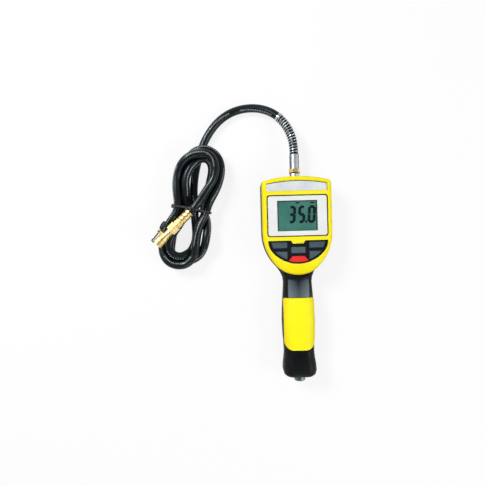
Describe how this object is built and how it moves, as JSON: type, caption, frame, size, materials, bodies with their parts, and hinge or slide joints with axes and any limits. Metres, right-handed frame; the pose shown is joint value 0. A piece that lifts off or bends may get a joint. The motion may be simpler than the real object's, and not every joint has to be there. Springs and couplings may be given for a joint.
{
  "type": "tyre inflator with gauge",
  "caption": "Handheld tyre inflator with a shield-shaped digital display head, press keys, grip handle, and a long hose wound in a tied hank with a clip-on brass chuck.",
  "frame": {"origin": "on the plane of the back face, under the middle of the handset's box", "axes": "+Z out of the display, +Y along the handle towards the hose end, +X to the right of the display"},
  "size_m": [0.2576, 0.4072, 0.044],
  "materials": {
    "housing": "fine moulded grain",
    "bezel": "bright yellow satin moulding",
    "grip": "soft, bright yellow like the bezel",
    "label": "printed film without words",
    "display_panel": "satin",
    "lens": "clear",
    "lcd": "teal display",
    "keypad": "near black film",
    "keys": "soft slate keys",
    "red_key": "soft red key",
    "silicone": "soft",
    "steel": "bright zinc",
    "spring_steel": "drawn wire",
    "board": "varnished laminate",
    "sensor": "moulded",
    "aluminium": "machined",
    "sintered_brass": "sintered",
    "coil": "wrapped coil in a can",
    "tube": "air tube",
    "cell": "plain sleeve",
    "brass": "turned",
    "zinc": "plated",
    "hose": "smooth rubber hose",
    "ring": "light ring",
    "tie": "strap"
  },
  "bodies": {
    "handset": {"front_cover": "housing", "rear_cover": "housing", "battery_door": "housing", "bezel": "bezel", "grip_pad": "grip", "label_strip": "label", "display_panel": "display_panel", "lcd_lens": "lens", "lcd_module": "lcd", "keypad_panel": "keypad", "keypad_mat": "silicone", "housing_screws": "steel", "door_screw": "steel", "circuit_board": "board", "board_screws": "steel", "pressure_sensor": "sensor", "valve_block": "aluminium", "exhaust_silencer": "sintered_brass", "inflate_solenoid": "coil", "deflate_solenoid": "coil", "plunger_springs": "steel", "air_tube": "tube", "outlet_tube": "tube", "batteries": "cell", "battery_contacts": "steel", "inlet_fitting": "brass", "outlet_collar": "zinc", "hose_adapter": "brass", "hose_ferrule": "brass", "hose_lead": "hose", "hose_hank": "hose", "spring_guard": "spring_steel", "guard_ring": "ring", "hank_tie": "tie", "end_ferrule": "brass", "chuck_nut": "brass", "chuck_body": "brass", "chuck_seal": "silicone", "chuck_depressor": "brass", "clip_pin": "steel", "clip_spring": "spring_steel"},
    "key_upper_right": {"key_upper_right": "keys"},
    "key_upper_left": {"key_upper_left": "keys"},
    "key_lower_right": {"key_lower_right": "keys"},
    "key_lower_left": {"key_lower_left": "keys"},
    "key_centre": {"key_centre": "keys"},
    "key_red": {"key_red": "red_key"},
    "inflate_valve": {"inflate_plunger": "steel"},
    "deflate_valve": {"deflate_plunger": "steel"},
    "clip": {"clip_jaw": "steel", "clip_lever": "steel"}
  },
  "joints": [
    {"name": "key_upper_right_press", "type": "slide", "parent": "handset", "child": "key_upper_right", "axis": [0, 0, -1], "range_m": [0, 0.001], "stiffness_N_per_m": 1500, "springref_m": -0.0004},
    {"name": "key_upper_left_press", "type": "slide", "parent": "handset", "child": "key_upper_left", "axis": [0, 0, -1], "range_m": [0, 0.001], "stiffness_N_per_m": 1500, "springref_m": -0.0004},
    {"name": "key_lower_right_press", "type": "slide", "parent": "handset", "child": "key_lower_right", "axis": [0, 0, -1], "range_m": [0, 0.001], "stiffness_N_per_m": 1500, "springref_m": -0.0004},
    {"name": "key_lower_left_press", "type": "slide", "parent": "handset", "child": "key_lower_left", "axis": [0, 0, -1], "range_m": [0, 0.001], "stiffness_N_per_m": 1500, "springref_m": -0.0004},
    {"name": "key_centre_press", "type": "slide", "parent": "handset", "child": "key_centre", "axis": [0, 0, -1], "range_m": [0, 0.001], "stiffness_N_per_m": 1500, "springref_m": -0.0004},
    {"name": "key_red_press", "type": "slide", "parent": "handset", "child": "key_red", "axis": [0, 0, -1], "range_m": [0, 0.001], "stiffness_N_per_m": 1500, "springref_m": -0.0004},
    {"name": "inflate_plunger_slide", "type": "slide", "parent": "handset", "child": "inflate_valve", "axis": [0, 1, 0], "range_m": [0, 0.0015], "stiffness_N_per_m": 2000, "springref_m": -0.0008},
    {"name": "deflate_plunger_slide", "type": "slide", "parent": "handset", "child": "deflate_valve", "axis": [0, 1, 0], "range_m": [0, 0.0015], "stiffness_N_per_m": 2000, "springref_m": -0.0008},
    {"name": "clip_hinge", "type": "hinge", "parent": "handset", "child": "clip", "pos_m": [-0.19582, 0.06714, 0.0342], "axis": [0, 0, -1], "range_deg": [0, 14], "stiffness_Nm_per_rad": 0.15, "springref_deg": -11.46}
  ]
}
